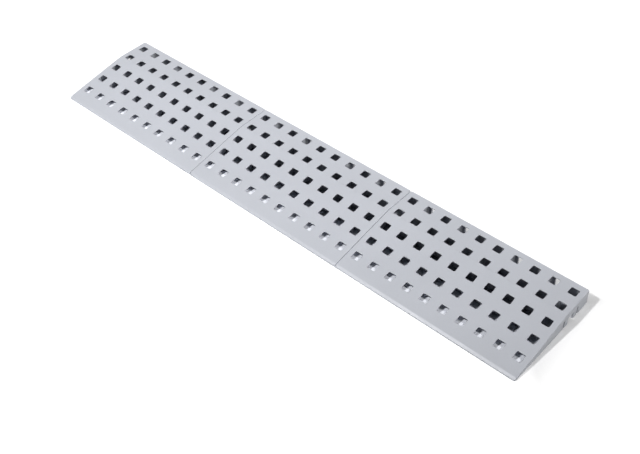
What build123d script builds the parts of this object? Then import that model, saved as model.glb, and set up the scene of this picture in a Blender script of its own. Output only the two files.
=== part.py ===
"""Threshold ramp of three identical moulded modules, set side by side and joined by lock keys.

Frame: +X runs along the ramp, +Y points to the high rear edge, +Z is up.
The origin is on the floor, under the middle of the ramp. All sizes are in millimetres.
"""
import os
from math import atan, degrees

from build123d import *

# Grid of grip holes in one module
column_count = 10
row_count = 5
column_pitch = 25.0
row_pitch = 26.5
hole_side = 10.6
hole_corner_radius = 1.6
hole_rim_radius = 0.4
hole_land = 1.0
hole_flare_angle = 45.0

# Outline of one module
module_depth = 145.0
ramp_height = 20.0
lip_height = 3.0
landing_depth = 47.0
nose_depth = 3.4
nose_height = 1.65
rear_margin = 13.5
edge_radius = 0.8
plan_corner_radius = 2.2
break_radius = 10.0
nose_radius = 3.0

# Wall thicknesses of the moulding
deck_thickness = 2.6
wall_thickness = 2.4
rib_thickness = 1.8
front_bar_depth = 8.0

# Slots in the rear wall, one behind each of these columns, counted from the left,
# and the clear width between the two guide walls that lead inwards from each slot
rear_slot_columns = (2, 4, 7, 9)
rear_slot_width = 8.0
rear_slot_height = 14.0
slot_guide_spacing = 14.0

# Snap socket in each end wall: a notch between two slits, with one open cell behind them
socket_setback = 37.0
socket_notch_width = 11.0
socket_notch_height = 10.0
socket_slit_offset = 13.9
socket_slit_width = 3.0
socket_slit_height = 12.0
socket_cell_rows = 3

# Lock keys across the seams
seam_gap = 0.5
key_clearance = 0.3
key_web_height = 9.0
key_flange_thickness = 3.5
key_flange_length = 22.0
key_flange_height = 10.5
key_lead_in = 0.8
pry_slot_width = 1.6
pry_slot_depth = 1.5
pry_slot_length = 6.0

# Rubber feet pressed into bosses, each where the rib after a column crosses the rib after a row
foot_columns = {"left": 1, "middle": 5, "right": 9}
foot_rows = {"rear": 1, "front": 4}
foot_stand = 0.3
foot_head_radius = 4.5
foot_head_height = 1.5
foot_stem_radius = 2.0
foot_stem_length = 3.5
foot_edge_chamfer = 0.3
foot_recess_clearance = 0.2
foot_stem_clearance = 0.05
boss_radius = 6.2

# Places worked out from the sizes above
module_width = column_count * column_pitch
module_pitch = module_width + seam_gap
end_x = module_width / 2
rear_y = module_depth / 2
front_y = -module_depth / 2
break_y = rear_y - landing_depth
nose_y = front_y + nose_depth
socket_y = rear_y - socket_setback
slope = (ramp_height - lip_height) / (module_depth - landing_depth)
slope_angle = degrees(atan(slope))
module_offsets = {"left": -module_pitch, "centre": 0.0, "right": module_pitch}
seam_places = {"left": -module_pitch / 2, "right": module_pitch / 2}

# How far a cutting tool reaches past the face it cuts through
overcut = 1.0
# Upward part of the normal of a face: at least this much on the deck, at most this much on a wall
deck_rise = 0.8
wall_rise = 0.1


def column_x(column):
    """Middle of a column of holes; columns count from 1 at the left end."""
    return (column - (column_count + 1) / 2) * column_pitch


def row_y(row):
    """Middle of a row of holes; rows count from 1 at the rear edge."""
    return rear_y - rear_margin - (row - 1) * row_pitch


def rib_x(rib):
    """Middle of the rib between a column and the next one."""
    return column_x(rib) + column_pitch / 2


def rib_y(rib):
    """Middle of the rib between a row and the next one."""
    return row_y(rib) - row_pitch / 2


def deck_top(y):
    """Height of the walking surface: a level landing, then a straight slope to the lip."""
    return ramp_height - max(0.0, break_y - y) * slope


def deck_underside(y):
    return deck_top(y) - deck_thickness


def span_box(x_span, y_span, z_span):
    """Box between two limits along each axis."""
    spans = (x_span, y_span, z_span)
    sizes = [high - low for low, high in spans]
    middle = [(high + low) / 2 for low, high in spans]
    return Pos(*middle) * Box(*sizes)


def profile_prism(y_low, y_high, bottom, height_at, x_low, x_high):
    """Prism along X whose top follows a height profile between two depths."""
    depths = [y_low] + [break_y] * (y_low < break_y < y_high) + [y_high]
    top = [(x_low, y, height_at(y)) for y in depths]
    outline = [(x_low, y_low, bottom)] + top + [(x_low, y_high, bottom)]
    return extrude(make_face(Polyline(*outline, close=True)), amount=x_high - x_low, dir=(1, 0, 0))


def nose_cut():
    """Wedge taken off the front edge, which leaves a steeper strip above a low front face."""
    steep = (deck_top(nose_y) - nose_height) / nose_depth
    outline = [
        (-end_x - overcut, y, nose_height + (y - front_y) * steep)
        for y in (front_y - overcut, nose_y)
    ]
    outline += [(-end_x - overcut, y, ramp_height) for y in (nose_y, front_y - overcut)]
    wedge = make_face(Polyline(*outline, close=True))
    return extrude(wedge, amount=2 * (end_x + overcut), dir=(1, 0, 0))


def edge_along_x(block, y, z):
    """Edge that runs along the ramp closest to a depth and a height."""
    return block.edges().filter_by(Axis.X).sort_by_distance((0, y, z))[0]


def rounded_block():
    """Solid wedge of one module with every outer edge rounded, before it is hollowed."""
    block = profile_prism(front_y, rear_y, foot_stand, deck_top, -end_x, end_x) - nose_cut()
    block = fillet(edge_along_x(block, break_y, ramp_height), break_radius)
    block = fillet(edge_along_x(block, nose_y, deck_top(nose_y)), nose_radius)
    block = fillet(block.edges().filter_by(Axis.Z), plan_corner_radius)
    top_faces = block.faces().filter_by(lambda face: face.normal_at().Z > deck_rise)
    side_faces = block.faces().filter_by(lambda face: abs(face.normal_at().Z) < wall_rise)
    side_edges = set(side_faces.edges())
    rim = [edge for edge in top_faces.edges() if edge in side_edges]
    return fillet(rim, edge_radius)


def foot_places():
    """Plan positions of the feet of one module, with a name for each."""
    return {
        f"{depth}_{side}": (rib_x(column), rib_y(row))
        for depth, row in foot_rows.items()
        for side, column in foot_columns.items()
    }


def pocket_spans():
    """Limits in X and Y of the open cells under the deck.

    Beside an end wall the first rows share one cell, which leaves the snap tongue of the
    wall free and makes room for a lock key.
    """
    half_rib = rib_thickness / 2
    x_limits = [-end_x + wall_thickness - half_rib]
    x_limits += [rib_x(rib) for rib in range(1, column_count)]
    x_limits += [end_x - wall_thickness + half_rib]
    y_limits = [rear_y - wall_thickness + half_rib]
    y_limits += [rib_y(rib) for rib in range(1, row_count)]
    y_limits += [front_y + front_bar_depth - half_rib]
    spans = []
    for column in range(column_count):
        shared = socket_cell_rows if column in (0, column_count - 1) else 1
        rows = [(0, shared)] + [(row, row + 1) for row in range(shared, row_count)]
        for first, last in rows:
            x_span = (x_limits[column] + half_rib, x_limits[column + 1] - half_rib)
            y_span = (y_limits[last] + half_rib, y_limits[first] - half_rib)
            spans.append((x_span, y_span))
    return spans


def underside_pockets():
    """Cells to hollow out under the deck, with the bosses of the feet left standing."""
    pockets = Part() + [
        profile_prism(y_span[0], y_span[1], foot_stand - overcut, deck_underside, *x_span)
        for x_span, y_span in pocket_spans()
    ]
    bosses = [
        Pos(x, y, ramp_height / 2) * Cylinder(boss_radius, 2 * ramp_height)
        for x, y in foot_places().values()
    ]
    return pockets - bosses


def foot_bores():
    """Recess and stem hole for each foot."""
    recess_top = foot_head_height
    stem_top = recess_top + foot_stem_length + overcut / 2
    bores = []
    for x, y in foot_places().values():
        recess = Cylinder(foot_head_radius + foot_recess_clearance, recess_top + overcut)
        bores.append(Pos(x, y, (recess_top - overcut) / 2) * recess)
        stem = Cylinder(foot_stem_radius + foot_stem_clearance, stem_top)
        bores.append(Pos(x, y, stem_top / 2) * stem)
    return bores


def grip_holes():
    """Square through holes, each square to its stretch of deck: a thin land, flared below it."""
    outline = RectangleRounded(hole_side, hole_side, hole_corner_radius)
    flare_depth = deck_thickness - hole_land + overcut
    land = extrude(outline, amount=hole_land + overcut)
    flare = extrude(outline, amount=flare_depth, dir=(0, 0, -1), taper=-hole_flare_angle)
    tool = Pos(0, 0, -hole_land) * (land + flare)
    holes = []
    for row in range(1, row_count + 1):
        y = row_y(row)
        tilt = slope_angle if y < break_y else 0.0
        for column in range(1, column_count + 1):
            holes.append(Location((column_x(column), y, deck_top(y)), (tilt, 0, 0)) * tool)
    return holes


def rear_slots():
    """Slots in the rear wall, open at the bottom."""
    half = rear_slot_width / 2
    y_span = (rear_y - wall_thickness - overcut, rear_y + overcut)
    z_span = (foot_stand - overcut, foot_stand + rear_slot_height)
    return [
        span_box((column_x(column) - half, column_x(column) + half), y_span, z_span)
        for column in rear_slot_columns
    ]


def slot_guides():
    """Two thin walls under the deck for each rear slot, from the rear wall to the first cross rib."""
    inner = slot_guide_spacing / 2
    outer = inner + rib_thickness
    y_span = (rib_y(1), rear_y - wall_thickness / 2)
    z_span = (foot_stand, deck_underside(rear_y) + overcut / 2)
    guides = []
    for column in rear_slot_columns:
        x = column_x(column)
        for x_span in ((x - outer, x - inner), (x + inner, x + outer)):
            guides.append(span_box(x_span, y_span, z_span))
    return guides


def end_sockets():
    """Notch for a lock key and the two slits that free a snap tongue, in both end walls."""
    openings = [(socket_y, socket_notch_width, socket_notch_height)]
    for slit_y in (socket_y - socket_slit_offset, socket_y + socket_slit_offset):
        openings.append((slit_y, socket_slit_width, socket_slit_height))
    cuts = []
    for side in (-1, 1):
        x_span = sorted((side * (end_x - wall_thickness - overcut), side * (end_x + overcut)))
        for middle, width, height in openings:
            y_span = (middle - width / 2, middle + width / 2)
            cuts.append(span_box(x_span, y_span, (foot_stand - overcut, foot_stand + height)))
    return cuts


def ramp_module():
    """One moulded module about X = 0."""
    module = rounded_block() - underside_pockets()
    module = module - grip_holes()
    decks = [
        face for face in module.faces() if face.normal_at().Z > deck_rise and len(face.inner_wires()) > 1
    ]
    rims = [edge for face in decks for wire in face.inner_wires() for edge in wire.edges()]
    module = fillet(rims, hole_rim_radius) + slot_guides()
    return module - rear_slots() - end_sockets() - foot_bores()


def lock_key():
    """H-shaped key about a seam at X = 0: a web through two notches, with a flange behind each wall."""
    bottom = foot_stand + key_clearance
    flange_inner = seam_gap / 2 + wall_thickness + key_clearance
    flange_outer = flange_inner + key_flange_thickness
    web_half = socket_notch_width / 2 - key_clearance
    flange_half = key_flange_length / 2
    web = span_box((-flange_outer, flange_outer), (socket_y - web_half, socket_y + web_half),
                   (bottom, bottom + key_web_height))
    flange = span_box((flange_inner, flange_outer), (socket_y - flange_half, socket_y + flange_half),
                      (bottom, bottom + key_flange_height))
    flange = chamfer(flange.faces().sort_by(Axis.Z)[-1].edges(), key_lead_in)
    key = web + [flange, mirror(flange, about=Plane.YZ)]
    pry_half = pry_slot_length / 2
    pry_slot = span_box((-pry_slot_width / 2, pry_slot_width / 2), (socket_y - pry_half, socket_y + pry_half),
                        (bottom - overcut, bottom + pry_slot_depth))
    return key - pry_slot


def rubber_foot():
    """Foot about Z: a flat head that stands on the floor and a stem pressed into a boss."""
    head = Pos(0, 0, foot_head_height / 2) * Cylinder(foot_head_radius, foot_head_height)
    head = chamfer(head.edges().sort_by(Axis.Z)[0], foot_edge_chamfer)
    stem_middle = foot_head_height + foot_stem_length / 2
    return head + Pos(0, 0, stem_middle) * Cylinder(foot_stem_radius, foot_stem_length)


def main():
    os.makedirs("parts", exist_ok=True)
    module = ramp_module()
    foot = rubber_foot()
    key = lock_key()
    for side, offset in module_offsets.items():
        export_step(Pos(offset, 0, 0) * module, f"parts/{side}_module.step")
        for place, (x, y) in foot_places().items():
            export_step(Pos(offset + x, y, 0) * foot, f"parts/{side}_module_{place}_foot.step")
    for side, seam in seam_places.items():
        export_step(Pos(seam, 0, 0) * key, f"parts/{side}_lock_key.step")
    print("module volume", round(module.volume), "mm3, slope", round(slope_angle, 2), "degrees")


main()
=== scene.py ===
# %% [markdown]
# # A perforated threshold ramp
#
# The ramp is three moulded plastic modules that stand side by side. Every piece is a solid from
# the construction model, so this lesson adds what a solid lacks: the finish of the plastic and the
# rubber, a floor to stand on, studio light, and a camera where the photographer stood.

# %% Load the construction model
from math import cos, radians, sin

import bmesh
import bpy
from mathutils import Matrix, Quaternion, Vector


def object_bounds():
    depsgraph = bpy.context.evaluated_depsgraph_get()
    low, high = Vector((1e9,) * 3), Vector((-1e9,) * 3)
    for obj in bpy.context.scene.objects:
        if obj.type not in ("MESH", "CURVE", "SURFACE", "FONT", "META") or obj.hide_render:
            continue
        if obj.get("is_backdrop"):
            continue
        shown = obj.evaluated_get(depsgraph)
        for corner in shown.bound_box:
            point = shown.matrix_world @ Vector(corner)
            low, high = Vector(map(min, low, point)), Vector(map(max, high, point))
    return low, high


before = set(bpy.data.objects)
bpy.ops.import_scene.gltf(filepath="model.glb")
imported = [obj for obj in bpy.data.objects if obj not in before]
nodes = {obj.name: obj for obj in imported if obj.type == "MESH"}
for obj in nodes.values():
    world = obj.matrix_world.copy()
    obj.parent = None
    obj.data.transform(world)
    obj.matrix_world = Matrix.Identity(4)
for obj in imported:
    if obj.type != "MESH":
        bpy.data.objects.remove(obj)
cad_low, cad_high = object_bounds()
scene = bpy.context.scene
millimetre = 0.001
cad_size = [round(length / millimetre, 1) for length in cad_high - cad_low]
print("pieces in the frame:", len(nodes), "size in mm:", cad_size)

# %% [markdown]
# ## Small helpers for shader nodes
#
# A finish is a handful of shader nodes. Each call below adds one node, sets its plain sockets and
# links the others, so that a finish reads from top to bottom like a recipe. Patterns read Object
# coordinates: every solid keeps its place in its own mesh, so these are metres in the ramp's frame,
# and a grain of half a millimetre can be asked for by its real size.

# %% Node helpers


def new_finish(name):
    """A material with its principled shader, ready for more nodes."""
    finish = bpy.data.materials.new(name)
    finish.use_nodes = True
    shader = finish.node_tree.nodes["Principled BSDF"]
    return finish, finish.node_tree, shader


def add_node(tree, kind, settings=None, **sockets):
    """Adds a node; each keyword is an input, either a plain value or another node's output."""
    node = tree.nodes.new(kind)
    for name, value in (settings or {}).items():
        setattr(node, name, value)
    for name, value in sockets.items():
        socket = node.inputs[name.replace("_", " ")]
        if isinstance(value, bpy.types.NodeSocket):
            tree.links.new(value, socket)
        else:
            socket.default_value = value
    return node


def grain(tree, place, size, detail=2.0, roughness=0.5):
    """Noise whose blobs are about as large as the size given, in metres."""
    noise = add_node(
        tree, "ShaderNodeTexNoise", Vector=place, Scale=1.0 / size, Detail=detail, Roughness=roughness
    )
    return noise.outputs["Fac"]


def spread(tree, value, low, high, source_low=0.3, source_high=0.7):
    """Stretches a value to the range from low to high; most noise lies between 0.3 and 0.7."""
    return add_node(
        tree,
        "ShaderNodeMapRange",
        Value=value,
        From_Min=source_low,
        From_Max=source_high,
        To_Min=low,
        To_Max=high,
    ).outputs["Result"]


def combine(tree, operation, *values):
    """One step of arithmetic; each value is a plain number or another node's output."""
    node = add_node(tree, "ShaderNodeMath", {"operation": operation})
    for socket, value in zip(node.inputs, values):
        if isinstance(value, bpy.types.NodeSocket):
            tree.links.new(value, socket)
        else:
            socket.default_value = value
    return node.outputs["Value"]


print("helpers ready")

# %% [markdown]
# ## Worn edges
#
# Edges that hands and wheels rub turn a little paler and smoother. They could be painted by hand, but
# there are hundreds of holes. The Bevel node finds every edge by itself, because its rounded normal
# departs from the true one only beside an edge.

# %% Edge wear
worn_edge_width = 0.8 * millimetre
worn_edge_samples = 6
# Cosine between the rounded and the true normal: fully worn below the first, unworn above the second
worn_normals = (0.90, 0.995)


def worn_edges(tree):
    """1 beside an edge and 0 on a flat face."""
    rounded = add_node(tree, "ShaderNodeBevel", {"samples": worn_edge_samples}, Radius=worn_edge_width)
    true_normal = add_node(tree, "ShaderNodeNewGeometry")
    alike = add_node(tree, "ShaderNodeVectorMath", {"operation": "DOT_PRODUCT"})
    tree.links.new(rounded.outputs["Normal"], alike.inputs[0])
    tree.links.new(true_normal.outputs["Normal"], alike.inputs[1])
    return spread(tree, alike.outputs["Value"], 1.0, 0.0, *worn_normals)


print("worn edges in mm:", round(worn_edge_width / millimetre, 2))

# %% [markdown]
# ## The moulded plastic of the modules
#
# The modules are pale blue-grey plastic from a mould with a fine matt texture. A single colour looks
# like paint, so three things vary: broad clouds in the tint where the melt flowed, a fine speckle of
# pigment, and the roughness. The mould's texture is a shallow bump of about half a millimetre. The
# lock keys are of the same plastic, a little darker.

# %% Module plastic
plastic_tint = (0.500, 0.517, 0.561)
key_darkness = 0.9
key_tint = tuple(key_darkness * channel for channel in plastic_tint)
module_roughness = 0.42
key_roughness = 0.4
sheen_variation = 0.05
flow_cloud_size = 90 * millimetre
flow_cloud_shades = (0.975, 1.02)
sheen_patch_size = flow_cloud_size / 4
speckle_size = 0.9 * millimetre
speckle_shades = (0.975, 1.025)
texture_size = 0.55 * millimetre
texture_depth = 0.02 * millimetre
texture_strength = 0.5
worn_edge_shade = 1.05
worn_edge_smoothing = 0.06


def shade(colour, factor):
    """The colour made lighter or darker, with an alpha."""
    return tuple(channel * factor for channel in colour) + (1.0,)


def moulded_plastic(name, tint, roughness):
    """Plastic with clouds, speckle, a fine mould texture and worn edges."""
    finish, tree, shader = new_finish(name)
    place = add_node(tree, "ShaderNodeTexCoord").outputs["Object"]
    flow = spread(tree, grain(tree, place, flow_cloud_size), 0.0, 1.0)
    clouds = add_node(tree, "ShaderNodeValToRGB", Fac=flow)
    for stop, factor in zip(clouds.color_ramp.elements, flow_cloud_shades):
        stop.color = shade(tint, factor)
    speckle = spread(tree, grain(tree, place, speckle_size, detail=3.0), *speckle_shades)
    pigment = add_node(tree, "ShaderNodeHueSaturation", Value=speckle, Color=clouds.outputs["Color"])
    edges = worn_edges(tree)
    paler = spread(tree, edges, 1.0, worn_edge_shade, 0.0, 1.0)
    worn = add_node(tree, "ShaderNodeHueSaturation", Value=paler, Color=pigment.outputs["Color"])
    tree.links.new(worn.outputs["Color"], shader.inputs["Base Color"])
    smoothest, roughest = roughness - sheen_variation, roughness + sheen_variation
    sheen_patches = spread(tree, grain(tree, place, sheen_patch_size), smoothest, roughest)
    rubbed = combine(tree, "MULTIPLY_ADD", edges, -worn_edge_smoothing, sheen_patches)
    tree.links.new(rubbed, shader.inputs["Roughness"])
    texture = add_node(
        tree,
        "ShaderNodeBump",
        Height=grain(tree, place, texture_size, detail=3.0, roughness=0.6),
        Strength=texture_strength,
        Distance=texture_depth,
    )
    tree.links.new(texture.outputs["Normal"], shader.inputs["Normal"])
    print("finish made:", name)
    return finish


module_plastic = moulded_plastic("matt_module_plastic", plastic_tint, module_roughness)
key_plastic = moulded_plastic("lock_key_plastic", key_tint, key_roughness)

# %% [markdown]
# ## The rubber of the feet
#
# The feet are dark, dull rubber that touches the floor. Rubber greys with dust in patches and has a
# fine pebbled skin, so its colour is a ramp over one noise and its bump comes from a finer one.

# %% Foot rubber
rubber_dark = (0.018, 0.018, 0.020, 1.0)
rubber_dusty = (0.060, 0.058, 0.055, 1.0)
rubber_roughness = (0.65, 0.9)
dust_patch_size = 2.5 * millimetre
pebble_size = 0.35 * millimetre
pebble_depth = 0.03 * millimetre
pebble_strength = 0.6


def pebbled_rubber(name):
    """Dark rubber with dusty patches and a pebbled skin."""
    finish, tree, shader = new_finish(name)
    place = add_node(tree, "ShaderNodeTexCoord").outputs["Object"]
    dust = grain(tree, place, dust_patch_size, detail=4.0)
    colour = add_node(tree, "ShaderNodeValToRGB", Fac=spread(tree, dust, 0.0, 1.0))
    colour.color_ramp.elements[0].color = rubber_dark
    colour.color_ramp.elements[1].color = rubber_dusty
    tree.links.new(colour.outputs["Color"], shader.inputs["Base Color"])
    tree.links.new(spread(tree, dust, *rubber_roughness), shader.inputs["Roughness"])
    pebbles = add_node(
        tree,
        "ShaderNodeBump",
        Height=grain(tree, place, pebble_size),
        Strength=pebble_strength,
        Distance=pebble_depth,
    )
    tree.links.new(pebbles.outputs["Normal"], shader.inputs["Normal"])
    print("finish made:", name)
    return finish


foot_rubber = pebbled_rubber("pebbled_foot_rubber")

# %% [markdown]
# ## A finish for every piece
#
# The ramp has three sorts of piece, and the end of a piece's name tells which sort it is. A loop over
# the names puts the right finish in each slot, so a further module would need no new line.

# %% Give each solid its finish
finishes = {"_module": module_plastic, "_lock_key": key_plastic, "_foot": foot_rubber}
for name, node in nodes.items():
    finish = next(made for ending, made in finishes.items() if name.endswith(ending))
    for slot in node.material_slots:
        slot.material = finish
    print(name, "gets", finish.name)

# %% [markdown]
# ## The floor
#
# The photograph stands the ramp on a white floor that runs out to white. One flat square is enough, as
# long as it reaches past the edges of the picture.

# %% Lay the floor
floor_half = 4.0
floor_mesh = bpy.data.meshes.new("floor")
floor_shape = bmesh.new()
bmesh.ops.create_grid(floor_shape, x_segments=1, y_segments=1, size=floor_half)
floor_shape.to_mesh(floor_mesh)
floor_shape.free()
floor = bpy.data.objects.new("floor", floor_mesh)
scene.collection.objects.link(floor)
floor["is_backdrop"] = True
print("floor laid, metres wide:", 2 * floor_half)

# %% [markdown]
# ## The floor's finish
#
# A plain white floor would turn grey where the lamps fall off, so its material adds a glow of its own,
# only for rays that come from the camera, straight or by way of a shiny surface. The glow is nothing
# under the ramp, faint beside it, so that its shadow stays visible, and full from about a hand's width
# away. In front of the ramp, where no shadow falls, it starts higher.
#
# Under the ramp the floor is seen only through the holes. There the blue tint of the light between the
# plastic walls is painted into its colour, and below the deep cells a painted shade makes it darker, so
# that their holes look almost black. The painted shade fades out before the front row, whose holes show
# lit floor, and before the right end, where the floor shows through the socket and stays white.

# %% White floor
floor_roughness = 0.9
floor_white = (0.9, 0.9, 0.9, 1.0)
# Painted light: the blue tint of light bounced between the plastic walls, painted into the floor under the
# ramp
painted_bounce_tint = (0.84, 0.86, 0.92, 1.0)
# Painted shade: the floor below the deep cells is painted this dark so their holes look almost black
painted_cell_shade = (0.31, 0.33, 0.38, 1.0)
shaded_edge = 12 * millimetre
shaded_low = (cad_low.x - shaded_edge / 2, -20 * millimetre)
shaded_high = (cad_high.x - shaded_edge / 2, 70 * millimetre)
under_high = (cad_high.x - shaded_edge / 2, cad_high.y)
glow_tint = (1.0, 1.0, 1.0, 1.0)
glow_beside = 0.05
glow_reach = 95 * millimetre
glow_front_lead = 36 * millimetre


def seen_by_camera(tree):
    """1 for what the camera sees, straight or in a shiny surface, and 0 for other light."""
    ray = add_node(tree, "ShaderNodeLightPath").outputs
    seen = combine(tree, "MAXIMUM", ray["Is Camera Ray"], ray["Is Glossy Ray"])
    return combine(tree, "MAXIMUM", seen, ray["Is Transmission Ray"])


def gap_beside(tree, low, high):
    """How far a point of the floor lies outside a rectangle, less than 0 inside it."""
    place = add_node(tree, "ShaderNodeTexCoord").outputs["Object"]
    axes = add_node(tree, "ShaderNodeSeparateXYZ", Vector=place)
    gaps = []
    for axis, low_side, high_side in zip("XY", low, high):
        gaps.append(combine(tree, "SUBTRACT", low_side, axes.outputs[axis]))
        gaps.append(combine(tree, "SUBTRACT", axes.outputs[axis], high_side))
    gap = gaps[0]
    for other in gaps[1:]:
        gap = combine(tree, "MAXIMUM", gap, other)
    return gap


floor_finish, floor_tree, floor_shader = new_finish("white_floor")
# Mask of the painted shade, fading out over the shaded edge
gap_from_cells = gap_beside(floor_tree, shaded_low, shaded_high)
clear_of_painted_shade = spread(floor_tree, gap_from_cells, 0.0, 1.0, -shaded_edge, 0.0)
# Floor colour under the ramp: painted shade below the deep cells, painted bounce tint elsewhere
painted_shade_and_tint = add_node(floor_tree, "ShaderNodeValToRGB", Fac=clear_of_painted_shade)
painted_shade_and_tint.color_ramp.elements[0].color = painted_cell_shade
painted_shade_and_tint.color_ramp.elements[1].color = painted_bounce_tint
not_under = combine(floor_tree, "GREATER_THAN", gap_beside(floor_tree, cad_low, under_high), 0.0)
floor_colour = add_node(
    floor_tree, "ShaderNodeMixRGB", Fac=not_under, Color1=painted_shade_and_tint.outputs["Color"], Color2=floor_white
)
floor_tree.links.new(floor_colour.outputs["Color"], floor_shader.inputs["Base Color"])
floor_shader.inputs["Roughness"].default_value = floor_roughness
floor_shader.inputs["Specular IOR Level"].default_value = 0.0
floor_shader.inputs["Emission Color"].default_value = glow_tint
gap_from_glow = gap_beside(floor_tree, (cad_low.x, cad_low.y + glow_front_lead), cad_high)
glow = spread(floor_tree, gap_from_glow, glow_beside, 1.0, 0.0, glow_reach)
glow = combine(floor_tree, "MULTIPLY", glow, not_under)
glow = combine(floor_tree, "MULTIPLY", glow, seen_by_camera(floor_tree))
floor_tree.links.new(glow, floor_shader.inputs["Emission Strength"])
floor_mesh.materials.append(floor_finish)
print("finish made:", floor_finish.name)

# %% [markdown]
# ## Studio light
#
# Three things in the photograph tell where the light was. The holes of the front row show two lit
# patches of floor, so there were two lamps. One patch and the short shadow beside the right end belong
# to a small lamp at the front left, whose light falls off towards the right end. The other patch and
# the light on the end wall belong to a lamp at the right. A low panel behind the ramp stands for the
# white wall of a studio and puts some light on the back and into its slots. The deep holes are almost
# black, so little light came from the room itself.

# %% World and lamps
room_light = 0.02
room_tint = (1.0, 1.0, 1.0, 1.0)
front_lamp_place = (-0.178, -0.76, 1.2)
front_lamp_aim = (-0.938, 0.947, 0.0)
front_lamp_side = 0.11
front_lamp_watts = 18.8
side_lamp_place = (1.1, 0.2, 1.5)
side_lamp_aim = (-1.0, 0.75, 0.0)
side_lamp_side = 0.2
side_lamp_watts = 8.7
side_lamp_spread = radians(98)
rear_panel_place = (0.0, 1.2, 0.25)
rear_panel_aim = (0.0, 0.0, 0.25)
rear_panel_width, rear_panel_height = 2.4, 0.5
rear_panel_watts = 3.0

world = bpy.data.worlds.new("white_studio")
world.use_nodes = True
scene.world = world
world_tree = world.node_tree
room = world_tree.nodes["Background"]
room.inputs["Color"].default_value = room_tint
room_level = spread(world_tree, seen_by_camera(world_tree), room_light, 1.0, 0.0, 1.0)
world_tree.links.new(room_level, room.inputs["Strength"])


def hang_lamp(name, place, aim, **settings):
    """A flat lamp that looks at a point; it is square unless a shape is given."""
    lamp = bpy.data.lights.new(name, "AREA")
    for setting, value in settings.items():
        setattr(lamp, setting, value)
    holder = bpy.data.objects.new(name, lamp)
    holder.location = place
    holder.rotation_mode = "QUATERNION"
    holder.rotation_quaternion = (Vector(aim) - Vector(place)).to_track_quat("-Z", "Y")
    scene.collection.objects.link(holder)
    print("lamp:", name, settings)


hang_lamp("front_lamp", front_lamp_place, front_lamp_aim, size=front_lamp_side, energy=front_lamp_watts)
hang_lamp(
    "side_lamp",
    side_lamp_place,
    side_lamp_aim,
    size=side_lamp_side,
    energy=side_lamp_watts,
    spread=side_lamp_spread,
)
hang_lamp(
    "rear_panel",
    rear_panel_place,
    rear_panel_aim,
    shape="RECTANGLE",
    size=rear_panel_width,
    size_y=rear_panel_height,
    energy=rear_panel_watts,
)

# %% [markdown]
# ## The camera
#
# The photograph looks down at the ramp from its front right. The camera's place, turn and lens were
# worked out from the regular grid of holes, whose spacing is known.

# %% Camera
camera_place = Vector((0.6713, -0.6838, 0.8894))
camera_azimuth = radians(44.284)
camera_elevation = radians(41.855)
camera_roll = radians(2.667)
camera_lens = 57.59
camera_sensor_width = 36.0
camera_shift = (0.0321, -0.0891)

camera_data = bpy.data.cameras.new("camera")
camera_data.lens = camera_lens
camera_data.sensor_width = camera_sensor_width
camera_data.shift_x, camera_data.shift_y = camera_shift
camera = bpy.data.objects.new("camera", camera_data)
looking_back = Vector(
    (
        sin(camera_azimuth) * cos(camera_elevation),
        -cos(camera_azimuth) * cos(camera_elevation),
        sin(camera_elevation),
    )
)
camera.location = camera_place
camera.rotation_mode = "QUATERNION"
level_turn = (-looking_back).to_track_quat("-Z", "Y")
camera.rotation_quaternion = level_turn @ Quaternion((0, 0, 1), -camera_roll)
scene.collection.objects.link(camera)
scene.camera = camera
scene.view_settings.view_transform = "Standard"
print("camera lens in mm:", camera_lens)

# %% [markdown]
# ## Measure the result
#
# The finish adds nothing to the outside of the ramp, so its box has to be the box of the solids.

# %% Measure the visual box and finish
shown_low, shown_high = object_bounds()
shown_size = [round(length / millimetre, 1) for length in shown_high - shown_low]
print("visual size in mm:", shown_size)
